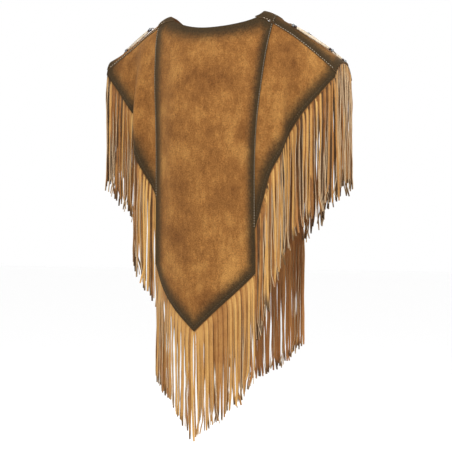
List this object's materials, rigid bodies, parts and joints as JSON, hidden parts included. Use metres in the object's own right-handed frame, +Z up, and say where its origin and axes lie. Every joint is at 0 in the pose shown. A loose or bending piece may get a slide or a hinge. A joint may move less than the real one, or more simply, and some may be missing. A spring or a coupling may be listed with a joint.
{
  "type": "fringed suede poncho",
  "caption": "Western suede poncho in its worn, hollow form: front and back panels with V hems, side panels over the shoulders, long cut fringe at every hem and bone tube beads on the shoulders.",
  "frame": {"origin": "on the shoulder ridge, midway between the two neck points, at the underside of the suede, where the wearer's shoulders hold the poncho", "axes": "+Z up, +Y the way the wearer faces, +X the wearer's right; the V hem of the back is towards -Y"},
  "size_m": [0.6164, 0.3481, 1.0061],
  "materials": {
    "suede": "napped suede, airbrushed dark at the borders",
    "fringe": "napped suede strands, pale cut edges, dark tips",
    "bone": "polished bone",
    "silver": "silver-coloured metal",
    "dark_bead": "dark glossy bead",
    "lace": "dark suede lace"
  },
  "bodies": {
    "root": {"back_centre_panel": "suede", "back_left_panel": "suede", "back_right_panel": "suede", "front_centre_panel": "suede", "front_left_panel": "suede", "front_right_panel": "suede", "fringe_back_centre": "fringe", "fringe_back_left": "fringe", "fringe_back_right": "fringe", "fringe_front_centre": "fringe", "fringe_front_left": "fringe", "fringe_front_right": "fringe", "bone_tube_left_top": "bone", "dark_bead_left_top_inner": "dark_bead", "silver_bead_left_top_inner": "silver", "dark_bead_left_top_outer": "dark_bead", "silver_bead_left_top_outer": "silver", "bead_lace_left_top": "lace", "bone_tube_left_front": "bone", "dark_bead_left_front_inner": "dark_bead", "silver_bead_left_front_inner": "silver", "dark_bead_left_front_outer": "dark_bead", "silver_bead_left_front_outer": "silver", "bead_lace_left_front": "lace", "bone_tube_right_top": "bone", "dark_bead_right_top_inner": "dark_bead", "silver_bead_right_top_inner": "silver", "dark_bead_right_top_outer": "dark_bead", "silver_bead_right_top_outer": "silver", "bead_lace_right_top": "lace", "bone_tube_right_front": "bone", "dark_bead_right_front_inner": "dark_bead", "silver_bead_right_front_inner": "silver", "dark_bead_right_front_outer": "dark_bead", "silver_bead_right_front_outer": "silver", "bead_lace_right_front": "lace"}
  },
  "joints": []
}
